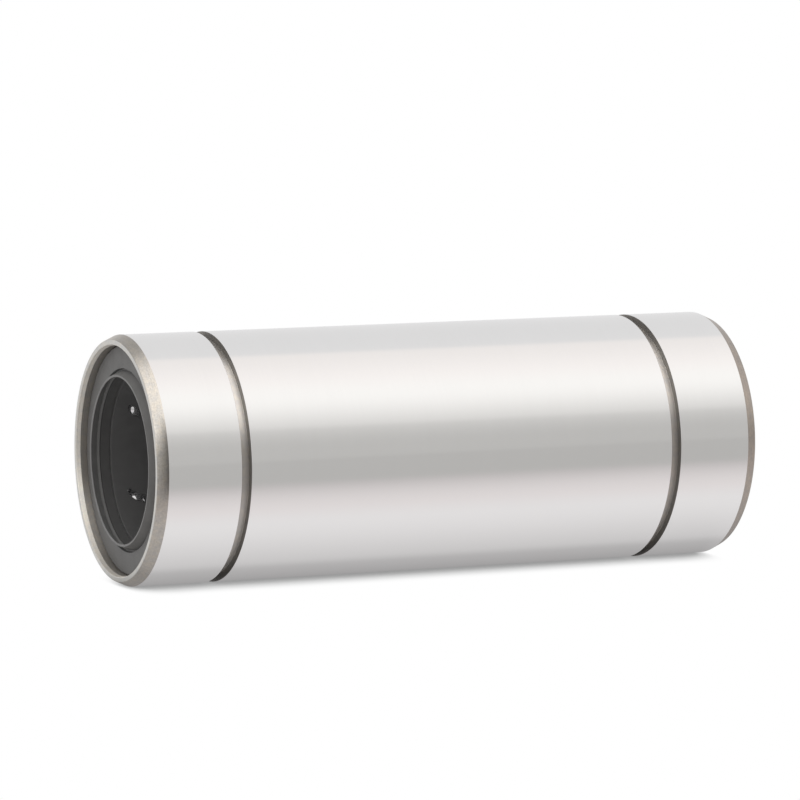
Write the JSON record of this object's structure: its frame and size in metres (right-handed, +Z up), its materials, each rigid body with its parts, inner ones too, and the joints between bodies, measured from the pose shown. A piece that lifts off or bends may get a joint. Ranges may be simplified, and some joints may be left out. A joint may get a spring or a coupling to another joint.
{
  "type": "linear ball bushing",
  "caption": "Long round linear ball bushing: ground steel outer cylinder with retaining-ring grooves, end seals and recirculating ball circuits that run on a round shaft.",
  "frame": {"origin": "centre of the bushing on the shaft axis, half way between the end faces", "axes": "+Y along the shaft axis towards the rear end; the front end faces -Y; +Z up with the bushing lying on its side; the first loaded row of the front end lies 35 degrees above +X"},
  "size_m": [0.052, 0.135, 0.052],
  "materials": {
    "bearing_steel": "hardened bearing steel, outside diameter ground and polished, chamfers and grooves satin turned",
    "ball_steel": "lapped bearing balls",
    "cage_resin": "moulded dark engineering resin, semi-matt",
    "seal_rubber": "moulded dark grey nitrile rubber, matt",
    "core_steel": "plain pressed steel",
    "spring_steel": "phosphated spring steel, dark"
  },
  "bodies": {
    "bushing": {"outer_cylinder": "bearing_steel", "cage_front": "cage_resin", "cage_rear": "cage_resin", "seal_front": "seal_rubber", "seal_rear": "seal_rubber", "seal_core_front": "core_steel", "seal_core_rear": "core_steel", "snap_ring_front": "spring_steel", "snap_ring_rear": "spring_steel"},
    "balls_loaded_front_1": {"balls_loaded_front_1": "ball_steel"},
    "balls_return_front_1": {"balls_return_front_1": "ball_steel"},
    "balls_outer_turn_front_1": {"balls_outer_turn_front_1": "ball_steel"},
    "balls_inner_turn_front_1": {"balls_inner_turn_front_1": "ball_steel"},
    "balls_loaded_front_2": {"balls_loaded_front_2": "ball_steel"},
    "balls_return_front_2": {"balls_return_front_2": "ball_steel"},
    "balls_outer_turn_front_2": {"balls_outer_turn_front_2": "ball_steel"},
    "balls_inner_turn_front_2": {"balls_inner_turn_front_2": "ball_steel"},
    "balls_loaded_front_3": {"balls_loaded_front_3": "ball_steel"},
    "balls_return_front_3": {"balls_return_front_3": "ball_steel"},
    "balls_outer_turn_front_3": {"balls_outer_turn_front_3": "ball_steel"},
    "balls_inner_turn_front_3": {"balls_inner_turn_front_3": "ball_steel"},
    "balls_loaded_front_4": {"balls_loaded_front_4": "ball_steel"},
    "balls_return_front_4": {"balls_return_front_4": "ball_steel"},
    "balls_outer_turn_front_4": {"balls_outer_turn_front_4": "ball_steel"},
    "balls_inner_turn_front_4": {"balls_inner_turn_front_4": "ball_steel"},
    "balls_loaded_front_5": {"balls_loaded_front_5": "ball_steel"},
    "balls_return_front_5": {"balls_return_front_5": "ball_steel"},
    "balls_outer_turn_front_5": {"balls_outer_turn_front_5": "ball_steel"},
    "balls_inner_turn_front_5": {"balls_inner_turn_front_5": "ball_steel"},
    "balls_loaded_front_6": {"balls_loaded_front_6": "ball_steel"},
    "balls_return_front_6": {"balls_return_front_6": "ball_steel"},
    "balls_outer_turn_front_6": {"balls_outer_turn_front_6": "ball_steel"},
    "balls_inner_turn_front_6": {"balls_inner_turn_front_6": "ball_steel"},
    "balls_loaded_rear_1": {"balls_loaded_rear_1": "ball_steel"},
    "balls_return_rear_1": {"balls_return_rear_1": "ball_steel"},
    "balls_outer_turn_rear_1": {"balls_outer_turn_rear_1": "ball_steel"},
    "balls_inner_turn_rear_1": {"balls_inner_turn_rear_1": "ball_steel"},
    "balls_loaded_rear_2": {"balls_loaded_rear_2": "ball_steel"},
    "balls_return_rear_2": {"balls_return_rear_2": "ball_steel"},
    "balls_outer_turn_rear_2": {"balls_outer_turn_rear_2": "ball_steel"},
    "balls_inner_turn_rear_2": {"balls_inner_turn_rear_2": "ball_steel"},
    "balls_loaded_rear_3": {"balls_loaded_rear_3": "ball_steel"},
    "balls_return_rear_3": {"balls_return_rear_3": "ball_steel"},
    "balls_outer_turn_rear_3": {"balls_outer_turn_rear_3": "ball_steel"},
    "balls_inner_turn_rear_3": {"balls_inner_turn_rear_3": "ball_steel"},
    "balls_loaded_rear_4": {"balls_loaded_rear_4": "ball_steel"},
    "balls_return_rear_4": {"balls_return_rear_4": "ball_steel"},
    "balls_outer_turn_rear_4": {"balls_outer_turn_rear_4": "ball_steel"},
    "balls_inner_turn_rear_4": {"balls_inner_turn_rear_4": "ball_steel"},
    "balls_loaded_rear_5": {"balls_loaded_rear_5": "ball_steel"},
    "balls_return_rear_5": {"balls_return_rear_5": "ball_steel"},
    "balls_outer_turn_rear_5": {"balls_outer_turn_rear_5": "ball_steel"},
    "balls_inner_turn_rear_5": {"balls_inner_turn_rear_5": "ball_steel"},
    "balls_loaded_rear_6": {"balls_loaded_rear_6": "ball_steel"},
    "balls_return_rear_6": {"balls_return_rear_6": "ball_steel"},
    "balls_outer_turn_rear_6": {"balls_outer_turn_rear_6": "ball_steel"},
    "balls_inner_turn_rear_6": {"balls_inner_turn_rear_6": "ball_steel"}
  },
  "joints": [
    {"name": "ball_travel", "type": "slide", "parent": "bushing", "child": "balls_loaded_front_1", "axis": [0, 1, 0], "range_m": [-0.00219, 0.00219]},
    {"name": "return_travel_front_1", "type": "slide", "parent": "bushing", "child": "balls_return_front_1", "axis": [0, 1, 0], "range_m": [-0.0022, 0.0022]},
    {"name": "outer_turn_travel_front_1", "type": "hinge", "parent": "bushing", "child": "balls_outer_turn_front_1", "pos_m": [0.01837, -0.0548, 0.00774], "axis": [-0.819, 0, -0.5738], "range_deg": [-30, 30]},
    {"name": "inner_turn_travel_front_1", "type": "hinge", "parent": "bushing", "child": "balls_inner_turn_front_1", "pos_m": [0.01837, -0.01082, 0.00774], "axis": [-0.819, 0, -0.5738], "range_deg": [-30, 30]},
    {"name": "loaded_travel_front_2", "type": "slide", "parent": "bushing", "child": "balls_loaded_front_2", "axis": [0, 1, 0], "range_m": [-0.0022, 0.0022]},
    {"name": "return_travel_front_2", "type": "slide", "parent": "bushing", "child": "balls_return_front_2", "axis": [0, 1, 0], "range_m": [-0.0022, 0.0022]},
    {"name": "outer_turn_travel_front_2", "type": "hinge", "parent": "bushing", "child": "balls_outer_turn_front_2", "pos_m": [0.00249, -0.0548, 0.01978], "axis": [0.0874, 0, -0.9962], "range_deg": [-30, 30]},
    {"name": "inner_turn_travel_front_2", "type": "hinge", "parent": "bushing", "child": "balls_inner_turn_front_2", "pos_m": [0.00249, -0.01082, 0.01978], "axis": [0.0874, 0, -0.9962], "range_deg": [-30, 30]},
    {"name": "loaded_travel_front_3", "type": "slide", "parent": "bushing", "child": "balls_loaded_front_3", "axis": [0, 1, 0], "range_m": [-0.0022, 0.0022]},
    {"name": "return_travel_front_3", "type": "slide", "parent": "bushing", "child": "balls_return_front_3", "axis": [0, 1, 0], "range_m": [-0.0022, 0.0022]},
    {"name": "outer_turn_travel_front_3", "type": "hinge", "parent": "bushing", "child": "balls_outer_turn_front_3", "pos_m": [-0.01588, -0.0548, 0.01204], "axis": [0.9064, 0, -0.4224], "range_deg": [-30, 30]},
    {"name": "inner_turn_travel_front_3", "type": "hinge", "parent": "bushing", "child": "balls_inner_turn_front_3", "pos_m": [-0.01588, -0.01082, 0.01204], "axis": [0.9064, 0, -0.4224], "range_deg": [-30, 30]},
    {"name": "loaded_travel_front_4", "type": "slide", "parent": "bushing", "child": "balls_loaded_front_4", "axis": [0, 1, 0], "range_m": [-0.0022, 0.0022]},
    {"name": "return_travel_front_4", "type": "slide", "parent": "bushing", "child": "balls_return_front_4", "axis": [0, 1, 0], "range_m": [-0.0022, 0.0022]},
    {"name": "outer_turn_travel_front_4", "type": "hinge", "parent": "bushing", "child": "balls_outer_turn_front_4", "pos_m": [-0.01837, -0.0548, -0.00774], "axis": [0.819, 0, 0.5738], "range_deg": [-30, 30]},
    {"name": "inner_turn_travel_front_4", "type": "hinge", "parent": "bushing", "child": "balls_inner_turn_front_4", "pos_m": [-0.01837, -0.01082, -0.00774], "axis": [0.819, 0, 0.5738], "range_deg": [-30, 30]},
    {"name": "loaded_travel_front_5", "type": "slide", "parent": "bushing", "child": "balls_loaded_front_5", "axis": [0, 1, 0], "range_m": [-0.0022, 0.0022]},
    {"name": "return_travel_front_5", "type": "slide", "parent": "bushing", "child": "balls_return_front_5", "axis": [0, 1, 0], "range_m": [-0.0022, 0.0022]},
    {"name": "outer_turn_travel_front_5", "type": "hinge", "parent": "bushing", "child": "balls_outer_turn_front_5", "pos_m": [-0.00249, -0.0548, -0.01978], "axis": [-0.0874, 0, 0.9962], "range_deg": [-30, 30]},
    {"name": "inner_turn_travel_front_5", "type": "hinge", "parent": "bushing", "child": "balls_inner_turn_front_5", "pos_m": [-0.00249, -0.01082, -0.01978], "axis": [-0.0874, 0, 0.9962], "range_deg": [-30, 30]},
    {"name": "loaded_travel_front_6", "type": "slide", "parent": "bushing", "child": "balls_loaded_front_6", "axis": [0, 1, 0], "range_m": [-0.0022, 0.0022]},
    {"name": "return_travel_front_6", "type": "slide", "parent": "bushing", "child": "balls_return_front_6", "axis": [0, 1, 0], "range_m": [-0.0022, 0.0022]},
    {"name": "outer_turn_travel_front_6", "type": "hinge", "parent": "bushing", "child": "balls_outer_turn_front_6", "pos_m": [0.01588, -0.0548, -0.01204], "axis": [-0.9064, 0, 0.4224], "range_deg": [-30, 30]},
    {"name": "inner_turn_travel_front_6", "type": "hinge", "parent": "bushing", "child": "balls_inner_turn_front_6", "pos_m": [0.01588, -0.01082, -0.01204], "axis": [-0.9064, 0, 0.4224], "range_deg": [-30, 30]},
    {"name": "loaded_travel_rear_1", "type": "slide", "parent": "bushing", "child": "balls_loaded_rear_1", "axis": [0, 1, 0], "range_m": [-0.0022, 0.0022]},
    {"name": "return_travel_rear_1", "type": "slide", "parent": "bushing", "child": "balls_return_rear_1", "axis": [0, 1, 0], "range_m": [-0.0022, 0.0022]},
    {"name": "outer_turn_travel_rear_1", "type": "hinge", "parent": "bushing", "child": "balls_outer_turn_rear_1", "pos_m": [-0.01837, 0.0548, 0.00774], "axis": [-0.819, 0, 0.5738], "range_deg": [-30, 30]},
    {"name": "inner_turn_travel_rear_1", "type": "hinge", "parent": "bushing", "child": "balls_inner_turn_rear_1", "pos_m": [-0.01837, 0.01082, 0.00774], "axis": [-0.819, 0, 0.5738], "range_deg": [-30, 30]},
    {"name": "loaded_travel_rear_2", "type": "slide", "parent": "bushing", "child": "balls_loaded_rear_2", "axis": [0, 1, 0], "range_m": [-0.0022, 0.0022]},
    {"name": "return_travel_rear_2", "type": "slide", "parent": "bushing", "child": "balls_return_rear_2", "axis": [0, 1, 0], "range_m": [-0.0022, 0.0022]},
    {"name": "outer_turn_travel_rear_2", "type": "hinge", "parent": "bushing", "child": "balls_outer_turn_rear_2", "pos_m": [-0.00249, 0.0548, 0.01978], "axis": [0.0874, 0, 0.9962], "range_deg": [-30, 30]},
    {"name": "inner_turn_travel_rear_2", "type": "hinge", "parent": "bushing", "child": "balls_inner_turn_rear_2", "pos_m": [-0.00249, 0.01082, 0.01978], "axis": [0.0874, 0, 0.9962], "range_deg": [-30, 30]},
    {"name": "loaded_travel_rear_3", "type": "slide", "parent": "bushing", "child": "balls_loaded_rear_3", "axis": [0, 1, 0], "range_m": [-0.0022, 0.0022]},
    {"name": "return_travel_rear_3", "type": "slide", "parent": "bushing", "child": "balls_return_rear_3", "axis": [0, 1, 0], "range_m": [-0.0022, 0.0022]},
    {"name": "outer_turn_travel_rear_3", "type": "hinge", "parent": "bushing", "child": "balls_outer_turn_rear_3", "pos_m": [0.01588, 0.0548, 0.01204], "axis": [0.9064, 0, 0.4224], "range_deg": [-30, 30]},
    {"name": "inner_turn_travel_rear_3", "type": "hinge", "parent": "bushing", "child": "balls_inner_turn_rear_3", "pos_m": [0.01588, 0.01082, 0.01204], "axis": [0.9064, 0, 0.4224], "range_deg": [-30, 30]},
    {"name": "loaded_travel_rear_4", "type": "slide", "parent": "bushing", "child": "balls_loaded_rear_4", "axis": [0, 1, 0], "range_m": [-0.0022, 0.0022]},
    {"name": "return_travel_rear_4", "type": "slide", "parent": "bushing", "child": "balls_return_rear_4", "axis": [0, 1, 0], "range_m": [-0.0022, 0.0022]},
    {"name": "outer_turn_travel_rear_4", "type": "hinge", "parent": "bushing", "child": "balls_outer_turn_rear_4", "pos_m": [0.01837, 0.0548, -0.00774], "axis": [0.819, 0, -0.5738], "range_deg": [-30, 30]},
    {"name": "inner_turn_travel_rear_4", "type": "hinge", "parent": "bushing", "child": "balls_inner_turn_rear_4", "pos_m": [0.01837, 0.01082, -0.00774], "axis": [0.819, 0, -0.5738], "range_deg": [-30, 30]},
    {"name": "loaded_travel_rear_5", "type": "slide", "parent": "bushing", "child": "balls_loaded_rear_5", "axis": [0, 1, 0], "range_m": [-0.0022, 0.0022]},
    {"name": "return_travel_rear_5", "type": "slide", "parent": "bushing", "child": "balls_return_rear_5", "axis": [0, 1, 0], "range_m": [-0.0022, 0.0022]},
    {"name": "outer_turn_travel_rear_5", "type": "hinge", "parent": "bushing", "child": "balls_outer_turn_rear_5", "pos_m": [0.00249, 0.0548, -0.01978], "axis": [-0.0874, 0, -0.9962], "range_deg": [-30, 30]},
    {"name": "inner_turn_travel_rear_5", "type": "hinge", "parent": "bushing", "child": "balls_inner_turn_rear_5", "pos_m": [0.00249, 0.01082, -0.01978], "axis": [-0.0874, 0, -0.9962], "range_deg": [-30, 30]},
    {"name": "loaded_travel_rear_6", "type": "slide", "parent": "bushing", "child": "balls_loaded_rear_6", "axis": [0, 1, 0], "range_m": [-0.0022, 0.0022]},
    {"name": "return_travel_rear_6", "type": "slide", "parent": "bushing", "child": "balls_return_rear_6", "axis": [0, 1, 0], "range_m": [-0.0022, 0.0022]},
    {"name": "outer_turn_travel_rear_6", "type": "hinge", "parent": "bushing", "child": "balls_outer_turn_rear_6", "pos_m": [-0.01588, 0.0548, -0.01204], "axis": [-0.9064, 0, -0.4224], "range_deg": [-30, 30]},
    {"name": "inner_turn_travel_rear_6", "type": "hinge", "parent": "bushing", "child": "balls_inner_turn_rear_6", "pos_m": [-0.01588, 0.01082, -0.01204], "axis": [-0.9064, 0, -0.4224], "range_deg": [-30, 30]}
  ],
  "couplings": [
    {"joint": "return_travel_front_1", "follows": "ball_travel", "ratio": -1},
    {"joint": "outer_turn_travel_front_1", "follows": "ball_travel", "rad_per_m": 238.1},
    {"joint": "inner_turn_travel_front_1", "follows": "ball_travel", "rad_per_m": 238.1},
    {"joint": "loaded_travel_front_2", "follows": "ball_travel", "ratio": 1},
    {"joint": "return_travel_front_2", "follows": "ball_travel", "ratio": -1},
    {"joint": "outer_turn_travel_front_2", "follows": "ball_travel", "rad_per_m": 238.1},
    {"joint": "inner_turn_travel_front_2", "follows": "ball_travel", "rad_per_m": 238.1},
    {"joint": "loaded_travel_front_3", "follows": "ball_travel", "ratio": 1},
    {"joint": "return_travel_front_3", "follows": "ball_travel", "ratio": -1},
    {"joint": "outer_turn_travel_front_3", "follows": "ball_travel", "rad_per_m": 238.1},
    {"joint": "inner_turn_travel_front_3", "follows": "ball_travel", "rad_per_m": 238.1},
    {"joint": "loaded_travel_front_4", "follows": "ball_travel", "ratio": 1},
    {"joint": "return_travel_front_4", "follows": "ball_travel", "ratio": -1},
    {"joint": "outer_turn_travel_front_4", "follows": "ball_travel", "rad_per_m": 238.1},
    {"joint": "inner_turn_travel_front_4", "follows": "ball_travel", "rad_per_m": 238.1},
    {"joint": "loaded_travel_front_5", "follows": "ball_travel", "ratio": 1},
    {"joint": "return_travel_front_5", "follows": "ball_travel", "ratio": -1},
    {"joint": "outer_turn_travel_front_5", "follows": "ball_travel", "rad_per_m": 238.1},
    {"joint": "inner_turn_travel_front_5", "follows": "ball_travel", "rad_per_m": 238.1},
    {"joint": "loaded_travel_front_6", "follows": "ball_travel", "ratio": 1},
    {"joint": "return_travel_front_6", "follows": "ball_travel", "ratio": -1},
    {"joint": "outer_turn_travel_front_6", "follows": "ball_travel", "rad_per_m": 238.1},
    {"joint": "inner_turn_travel_front_6", "follows": "ball_travel", "rad_per_m": 238.1},
    {"joint": "loaded_travel_rear_1", "follows": "ball_travel", "ratio": 1},
    {"joint": "return_travel_rear_1", "follows": "ball_travel", "ratio": -1},
    {"joint": "outer_turn_travel_rear_1", "follows": "ball_travel", "rad_per_m": 238.1},
    {"joint": "inner_turn_travel_rear_1", "follows": "ball_travel", "rad_per_m": 238.1},
    {"joint": "loaded_travel_rear_2", "follows": "ball_travel", "ratio": 1},
    {"joint": "return_travel_rear_2", "follows": "ball_travel", "ratio": -1},
    {"joint": "outer_turn_travel_rear_2", "follows": "ball_travel", "rad_per_m": 238.1},
    {"joint": "inner_turn_travel_rear_2", "follows": "ball_travel", "rad_per_m": 238.1},
    {"joint": "loaded_travel_rear_3", "follows": "ball_travel", "ratio": 1},
    {"joint": "return_travel_rear_3", "follows": "ball_travel", "ratio": -1},
    {"joint": "outer_turn_travel_rear_3", "follows": "ball_travel", "rad_per_m": 238.1},
    {"joint": "inner_turn_travel_rear_3", "follows": "ball_travel", "rad_per_m": 238.1},
    {"joint": "loaded_travel_rear_4", "follows": "ball_travel", "ratio": 1},
    {"joint": "return_travel_rear_4", "follows": "ball_travel", "ratio": -1},
    {"joint": "outer_turn_travel_rear_4", "follows": "ball_travel", "rad_per_m": 238.1},
    {"joint": "inner_turn_travel_rear_4", "follows": "ball_travel", "rad_per_m": 238.1},
    {"joint": "loaded_travel_rear_5", "follows": "ball_travel", "ratio": 1},
    {"joint": "return_travel_rear_5", "follows": "ball_travel", "ratio": -1},
    {"joint": "outer_turn_travel_rear_5", "follows": "ball_travel", "rad_per_m": 238.1},
    {"joint": "inner_turn_travel_rear_5", "follows": "ball_travel", "rad_per_m": 238.1},
    {"joint": "loaded_travel_rear_6", "follows": "ball_travel", "ratio": 1},
    {"joint": "return_travel_rear_6", "follows": "ball_travel", "ratio": -1},
    {"joint": "outer_turn_travel_rear_6", "follows": "ball_travel", "rad_per_m": 238.1},
    {"joint": "inner_turn_travel_rear_6", "follows": "ball_travel", "rad_per_m": 238.1}
  ]
}
